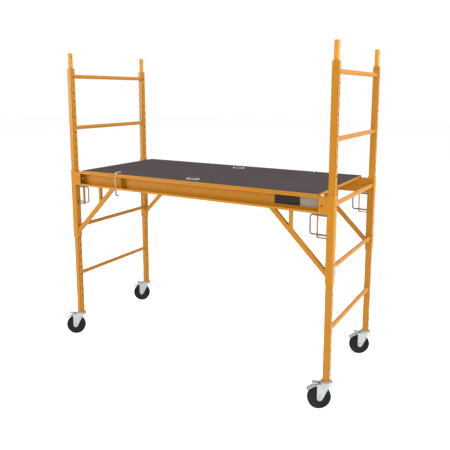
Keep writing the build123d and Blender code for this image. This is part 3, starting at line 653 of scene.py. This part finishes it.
for bracket_row, word in ((-1, "front"), (1, "rear")):
    bm = bmesh.new()
    for corner in (name for name in corners if row[name] == bracket_row):
        def placed(point):
            sleeve_face = post[corner].x - side[corner] * sleeve_half
            return (sleeve_face - side[corner] * point[0], post[corner].y + point[1], point[2])
        for start, end in end_bead_lines():
            straight_bead(bm, placed(start), placed(end), bracket_bead)
    finish_piece("bracket_welds_" + word, bm, "scaffold", [coat_braces])

# %% [markdown]
# A caster wheel is a turned shape. It could be stacked from cylinders, but one section spun round the
# axle gives hub, web, rim and tread as a single closed skin. Half of the section is drawn as a short row
# of points and mirrored. The row runs from the bore over the hub, down into the web, up the rim and over
# the crowned tread, with a groove in the side wall. The wheel stands in for the plain CAD wheel.

# %% Wheels
half_section = [
    (0.0061, 0.0170), (0.0075, 0.0184), (0.0178, 0.0184), (0.0196, 0.0172), (0.0202, 0.0130),
    (0.0220, 0.0108), (0.0255, 0.0099), (0.0330, 0.0094), (0.0400, 0.0099), (0.0428, 0.0110),
    (0.0446, 0.0140), (0.0462, 0.0153), (0.0476, 0.0150), (0.0490, 0.0158), (0.0540, 0.0160),
    (0.0556, 0.0152), (0.0566, 0.0152), (0.0580, 0.0157), (0.0606, 0.0143), (0.0622, 0.0118),
    (0.0631, 0.0080), (0.0635, 0.0035),
]
tread_starts, wheel_steps = 0.0476, 112
for corner in corners:
    joint = joints[f"wheel_{corner}_roll"]
    bm = bmesh.new()
    outline = half_section + [(radius, -width) for radius, width in reversed(half_section)]
    verts = [bm.verts.new((radius, width, 0)) for radius, width in outline]
    edges = [bm.edges.new((a, b)) for a, b in zip(verts, verts[1:] + verts[:1])]
    bmesh.ops.spin(bm, geom=verts + edges, cent=(0, 0, 0), axis=(0, 1, 0), angle=2 * pi,
                   steps=wheel_steps, use_merge=True)
    for face in bm.faces:
        centre = face.calc_center_median()
        face.material_index = 0 if Vector((centre.x, centre.z)).length > tread_starts else 1
    turn = Matrix.Rotation(atan2(-joint["axis"][0], joint["axis"][1]), 4, "Z")
    bmesh.ops.transform(bm, verts=bm.verts, matrix=Matrix.Translation(joint["pos_m"]) @ turn)
    wheel = finish_piece("wheel_" + corner, bm, "wheel_" + corner, [rubber, core], 30)
    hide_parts("caster_wheel_" + corner)

# %% [markdown]
# The ball race of a swivel caster is closed by a thin pressed ring, which turns with the fork. Its
# section is a narrow hook: up past the race, then in over its edge. It is round, so it is spun about the
# swivel axis, as the wheels are about theirs.

# %% Race covers
cover_wall, cover_steps, race_height, crown_thickness = 0.0006, 64, 0.0045, 0.0037
cover_outer, cover_shoulder, cover_inner, lip_inner = 0.0329, 0.0317, 0.0323, 0.0290
for corner in corners:
    race_z = joints[f"caster_{corner}_swivel"]["pos_m"][2]
    crown_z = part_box("caster_fork_" + corner)[1].z - crown_thickness
    lip_z = race_z + race_height + cover_wall
    section = [(cover_inner, crown_z), (cover_outer, crown_z), (cover_outer, lip_z - cover_wall),
               (0.0325, lip_z), (cover_shoulder, lip_z + cover_wall / 2), (lip_inner, lip_z + cover_wall / 2),
               (lip_inner, lip_z), (0.0316, lip_z - cover_wall / 4), (cover_inner, lip_z - cover_wall)]
    bm = bmesh.new()
    verts = [bm.verts.new((radius, 0, z)) for radius, z in section]
    edges = [bm.edges.new((a, b)) for a, b in zip(verts, verts[1:] + verts[:1])]
    bmesh.ops.spin(bm, geom=verts + edges, cent=(0, 0, 0), axis=(0, 0, 1), angle=2 * pi,
                   steps=cover_steps, use_merge=True)
    bmesh.ops.translate(bm, verts=bm.verts, vec=(post[corner].x, post[corner].y, 0))
    finish_piece("race_cover_" + corner, bm, "caster_" + corner, [bright_zinc], 30)

# %% [markdown]
# A coil spring is a small ring, spun round an axis while it moves along it. The CAD springs are plain
# sleeves, which the coils replace. A real spring closes up when its lock is pulled; these coils keep
# one length.

# %% Springs
wire_segments, steps_per_turn = 8, 20


def add_coil(bm, start, end, coil_radius, wire_radius, turns):
    start, end = Vector(start), Vector(end)
    axis = (end - start).normalized()
    run = (end - start).length - 2 * wire_radius
    first = start + axis * wire_radius
    upright = Matrix.Translation((coil_radius, 0, 0)) @ Matrix.Rotation(pi / 2, 4, "X")
    verts = bmesh.ops.create_circle(bm, cap_ends=True, segments=wire_segments, radius=wire_radius,
                                    matrix=Matrix.Translation(first) @ across(axis) @ upright)["verts"]
    edges = list({edge for vert in verts for edge in vert.link_edges})
    steps = turns * steps_per_turn
    spun = bmesh.ops.spin(bm, geom=verts + edges, cent=first, axis=axis, dvec=axis * (run / steps),
                          angle=2 * pi * turns, steps=steps)
    last = [item for item in spun["geom_last"] if isinstance(item, bmesh.types.BMEdge)]
    bmesh.ops.contextual_create(bm, geom=last)


lock_spring_turns, lock_spring_wire = 6, 0.00075
for corner in corners:
    low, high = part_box("u_lock_springs_" + corner)
    outer = (high.y - low.y) / 2
    fixed_x, free_x = (low.x, high.x) if side[corner] > 0 else (high.x, low.x)
    bm = bmesh.new()
    for z in (low.z + outer, high.z - outer):
        add_coil(bm, (fixed_x, post[corner].y, z), (free_x, post[corner].y, z),
                 outer - lock_spring_wire, lock_spring_wire, lock_spring_turns)
    springs = finish_piece("lock_springs_" + corner, bm, "scaffold", [spring_steel], 60)
    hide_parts("u_lock_springs_" + corner)
    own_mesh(springs)

platform_spring_turns, platform_spring_wire = 10, 0.0008
for word in ("front", "rear"):
    low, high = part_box("platform_lock_spring_" + word)
    centre = (low + high) / 2
    bm = bmesh.new()
    add_coil(bm, (centre.x, centre.y, high.z), (centre.x, centre.y, low.z),
             (high.x - low.x) / 2 - platform_spring_wire, platform_spring_wire, platform_spring_turns)
    spring = finish_piece("platform_spring_" + word, bm, "scaffold", [dipped_rod], 60)
    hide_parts("platform_lock_spring_" + word)
    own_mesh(spring)

# %% [markdown]
# The panel is riveted to its edge frame. A rivet head is a low dome: the top of a ball, flattened. A
# cylinder would have a hard rim, so one ball is cut in half for each head and set on the panel over its
# CAD rivet.

# %% Rivet heads on the platform
frame_low, frame_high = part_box("deck_edge_frame")
rivet_inset, side_rivets, end_rivets = 0.015, 8, 3
head_radius, head_height, head_sink = 0.0058, 0.0014, 0.0001
deck_centre = (frame_low + frame_high) / 2
deck_half = (frame_high - frame_low) / 2
side_pitch, end_pitch = 2 * deck_half.x / side_rivets, 2 * deck_half.y / end_rivets
places = [(-deck_half.x + side_pitch * (index + 0.5), end * (deck_half.y - rivet_inset))
          for index in range(side_rivets) for end in (-1, 1)]
places += [(end * (deck_half.x - rivet_inset), -deck_half.y + end_pitch * (index + 0.5))
           for index in range(end_rivets) for end in (-1, 1)]
bm = bmesh.new()
for x, y in places:
    ball = bmesh.ops.create_uvsphere(bm, u_segments=20, v_segments=12, radius=head_radius)["verts"]
    faces = list({face for vert in ball for face in vert.link_faces})
    edges = list({edge for vert in ball for edge in vert.link_edges})
    cut = bmesh.ops.bisect_plane(bm, geom=ball + edges + faces, plane_co=(0, 0, 0), plane_no=(0, 0, 1),
                                 clear_inner=True)["geom"]
    left = [item for item in cut if isinstance(item, bmesh.types.BMVert) and item.is_valid]
    rim = [item for item in cut if isinstance(item, bmesh.types.BMEdge) and item.is_boundary]
    bmesh.ops.contextual_create(bm, geom=rim)
    bmesh.ops.scale(bm, verts=left, vec=(1, 1, head_height / head_radius))
    bmesh.ops.translate(bm, verts=left, vec=(deck_centre.x + x, deck_centre.y + y, deck_high.z - head_sink))
finish_piece("rivet_heads", bm, "scaffold", [rivet_finish])

# %% [markdown]
# Each hand hole has a pale lining with a narrow lip on the panel. A circle whose two halves are moved
# apart makes a slot shape; six of them, one for each corner of the lining's section, are bridged in
# turn. Because all six have the same number of vertices, the bridges are clean rows of quads.

# %% Linings of the hand holes
hole_radius, hole_straight, hole_inset, edge_overlap = 0.019, 0.038, 0.092, 0.0023
lip_width, lip_height, lining_wall, fit_gap = 0.0045, 0.0006, 0.0012, 0.0001
slot_segments = 48


def slot_loop(bm, radius, height):
    half_step = Matrix.Rotation(pi / slot_segments, 4, "Z")  # keeps every vertex off the middle line
    verts = bmesh.ops.create_circle(bm, segments=slot_segments, radius=radius, matrix=half_step)["verts"]
    for vert in verts:
        vert.co.x += hole_straight / 2 if vert.co.x > 0 else -hole_straight / 2
        vert.co.z = height
    return list({edge for vert in verts for edge in vert.link_edges})


for end, word in ((-1, "front"), (1, "rear")):
    bm = bmesh.new()
    lip_radius, lip_top = hole_radius + lip_width, deck_high.z + lip_height
    inner, outer = hole_radius - lining_wall, hole_radius - fit_gap
    section = [(lip_radius, deck_high.z), (lip_radius - lip_height, lip_top), (inner, lip_top),
               (inner, deck_low.z), (outer, deck_low.z), (outer, deck_high.z)]
    loops = [slot_loop(bm, radius, height) for radius, height in section]
    for first, second in zip(loops, loops[1:] + loops[:1]):
        bmesh.ops.bridge_loops(bm, edges=first + second)
    hole_y = end * ((deck_high.y - deck_low.y) / 2 + edge_overlap - hole_inset)
    bmesh.ops.translate(bm, verts=bm.verts, vec=(scaffold_middle.x, scaffold_middle.y + hole_y, 0))
    finish_piece("hand_hole_lining_" + word, bm, "scaffold", [lining_finish])

# %% [markdown]
# The bolt hole in the plate at each end of a rail is closed by a black plug, which is painted shade: it
# stands in for the dark inside of the hole. A dark patch in the paint would look flat up close, so a plug
# is a short cylinder with a bevelled rim, as deep as the plate is thick.

# %% Black plugs as painted shade in the bolt holes of the rails
plug_radius, plug_depth, plug_bevel = 0.00495, 0.0030, 0.0003
plug_inset, rail_wall, plug_segments = 0.026, 0.003, 32
face_offset = scaffold_middle.y - rail_low.y - rail_wall / 2
bm = bmesh.new()
for corner in corners:
    x = scaffold_middle.x + side[corner] * ((rail_high.x - rail_low.x) / 2 - plug_inset)
    y = scaffold_middle.y + row[corner] * face_offset
    place_plug = Matrix.Translation((x, y, (rail_low.z + rail_high.z) / 2)) @ Matrix.Rotation(pi / 2, 4, "X")
    verts = bmesh.ops.create_cone(bm, cap_ends=True, segments=plug_segments, radius1=plug_radius,
                                  radius2=plug_radius, depth=plug_depth, matrix=place_plug)["verts"]
    rims = list({edge for vert in verts for edge in vert.link_edges if len(edge.link_faces) == 2
                 and any(len(face.verts) > 4 for face in edge.link_faces)})
    bmesh.ops.bevel(bm, geom=rims, offset=plug_bevel, segments=2, affect="EDGES", profile=0.5, material=-1)
# painted shade: the plugs take the near-black core plastic
finish_piece("rail_hole_shade_plugs", bm, "scaffold", [core])

# %% [markdown]
# Two thin plates are fixed inside the front rail near its right end: a dark one and a paler, silver one.
# On the real rail they carry print; here they are blank. A thin slab is made from a cube, its edges are
# bevelled, and its face is inset to leave a raised border.

# %% Plates on the front rail
web_face = rail_high.y - rail_wall
plate_height, plate_thickness, plate_rise = 0.050, 0.0010, 0.004
plates_left, plates_right, dark_share = 0.564, 0.808, 0.60
plate_edge, border_width, border_rise = 0.0003, 0.0016, 0.0003
divide = plates_left + (plates_right - plates_left) * dark_share
plate_middle = (rail_low.z + rail_high.z) / 2 + plate_rise
for name, x0, x1, finish in (("rail_plate_dark", plates_left, divide, dark_plate),
                             ("rail_plate_silver", divide, plates_right, silver_plate)):
    bm = bmesh.new()
    cube = bmesh.ops.create_cube(bm, size=1.0)["verts"]
    bmesh.ops.scale(bm, verts=cube, vec=(x1 - x0, plate_thickness, plate_height))
    bmesh.ops.translate(bm, verts=cube, vec=(scaffold_middle.x + (x0 + x1) / 2,
                                             web_face - plate_thickness / 2, plate_middle))
    bmesh.ops.bevel(bm, geom=list(bm.edges), offset=plate_edge, segments=2, affect="EDGES", profile=0.5,
                    material=-1)
    front = min(bm.faces, key=lambda face: face.calc_center_median().y - face.calc_area())
    bmesh.ops.inset_individual(bm, faces=[front], thickness=border_width, depth=0)
    bmesh.ops.inset_individual(bm, faces=[front], thickness=border_rise, depth=-border_rise)
    finish_piece(name, bm, "scaffold", [finish])

# %% [markdown]
# The object stands on a plain pale floor in soft light. A large panel on the right is the main light, so
# the faces that look right are bright and the faces that look forward are deeper in colour. A panel on
# the left and a weak one in front keep the channel of the rail from going black, and the world fills the
# rest. The floor and the world are a little brighter to the camera than they are as lamps, because a
# white backdrop that lit the object as strongly as it looks would wash the colours out.

# %% The floor and the room
floor_half, floor_glow = 30, 0.34
room_as_lamp, room_as_seen = 0.66, 1.05
bm = bmesh.new()
bmesh.ops.create_grid(bm, x_segments=1, y_segments=1, size=floor_half)
floor_mesh = bpy.data.meshes.new("floor")
bm.to_mesh(floor_mesh)
bm.free()
floor = bpy.data.objects.new("floor", floor_mesh)
bpy.context.scene.collection.objects.link(floor)
floor_paint, tree, shader, place = begin_material("pale_floor", Roughness=0.9)
tree.links.new(place_group(tree, drift_group, Vector=place, Colour=(0.98, 0.98, 0.98, 1), Slow=0.01,
                           Fast=0.005)["Colour"], shader.inputs["Base Color"])
lit = tree.nodes.new("ShaderNodeLightPath").outputs["Is Camera Ray"]
shader.inputs["Emission Color"].default_value = (1, 1, 1, 1)
tree.links.new(maths(tree, "MULTIPLY", lit, floor_glow), shader.inputs["Emission Strength"])
floor_mesh.materials.append(floor_paint)
floor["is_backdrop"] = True

world = bpy.data.worlds.new("soft_room")
bpy.context.scene.world = world
world.use_nodes = True
world_nodes = world.node_tree
background = world_nodes.nodes["Background"]
seen = world_nodes.nodes.new("ShaderNodeLightPath").outputs["Is Camera Ray"]
world_nodes.links.new(spread(world_nodes, seen, 0.0, 1.0, room_as_lamp, room_as_seen),
                      background.inputs["Strength"])
background.inputs["Color"].default_value = (1, 1, 1, 1)
print("floor", 2 * floor_half, "m wide, room at", room_as_lamp)


# %% Light panels
def add_light(name, location, target, size, power):
    data = bpy.data.lights.new(name, "AREA")
    data.shape, data.size, data.energy = "SQUARE", size, power
    light = bpy.data.objects.new(name, data)
    bpy.context.scene.collection.objects.link(light)
    light.location = location
    light.visible_camera = False
    light.rotation_euler = (Vector(target) - Vector(location)).to_track_quat("-Z", "Y").to_euler()
    print(name, power, "W")


aim = (scaffold_middle.x, scaffold_middle.y, 1.0)
add_light("right_panel", (5.5, 0.3, 2.6), aim, 3.5, 340)
add_light("left_panel", (-3.4, -3.2, 2.3), (-0.9, 0, 1.1), 2.4, 160)
add_light("front_panel", (2.4, -4.4, 1.9), aim, 2.6, 80)
add_light("top_panel", (0.5, 0.0, 5.2), aim, 4.0, 80)

# %% [markdown]
# The camera stands at eye height, to the right of the middle, and looks a little down. Part of the drop
# is lens shift, which leaves upright posts more upright than tilting the camera does.

# %% The camera
camera_offset, eye_height = (1.774, -2.898), 1.652
look_down, look_left, focal_length = 9.09, 30.65, 43.14
lens_data = bpy.data.cameras.new("camera")
camera = bpy.data.objects.new("camera", lens_data)
bpy.context.scene.collection.objects.link(camera)
bpy.context.scene.camera = camera
camera.location = (scaffold_middle.x + camera_offset[0], scaffold_middle.y + camera_offset[1], eye_height)
camera.rotation_euler = (radians(90 - look_down), 0, radians(look_left))
lens_data.sensor_width = 36
lens_data.lens = focal_length
lens_data.shift_y = -0.103
bpy.context.scene.view_settings.view_transform = "Standard"
print("camera", [round(v, 3) for v in camera.location], focal_length, "mm")

# %% [markdown]
# The size of the visual model is printed. The visual model has to stay inside the CAD box.

# %% The size of the visual model
low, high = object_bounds()
print("visual box", [round(v, 4) for v in high - low])
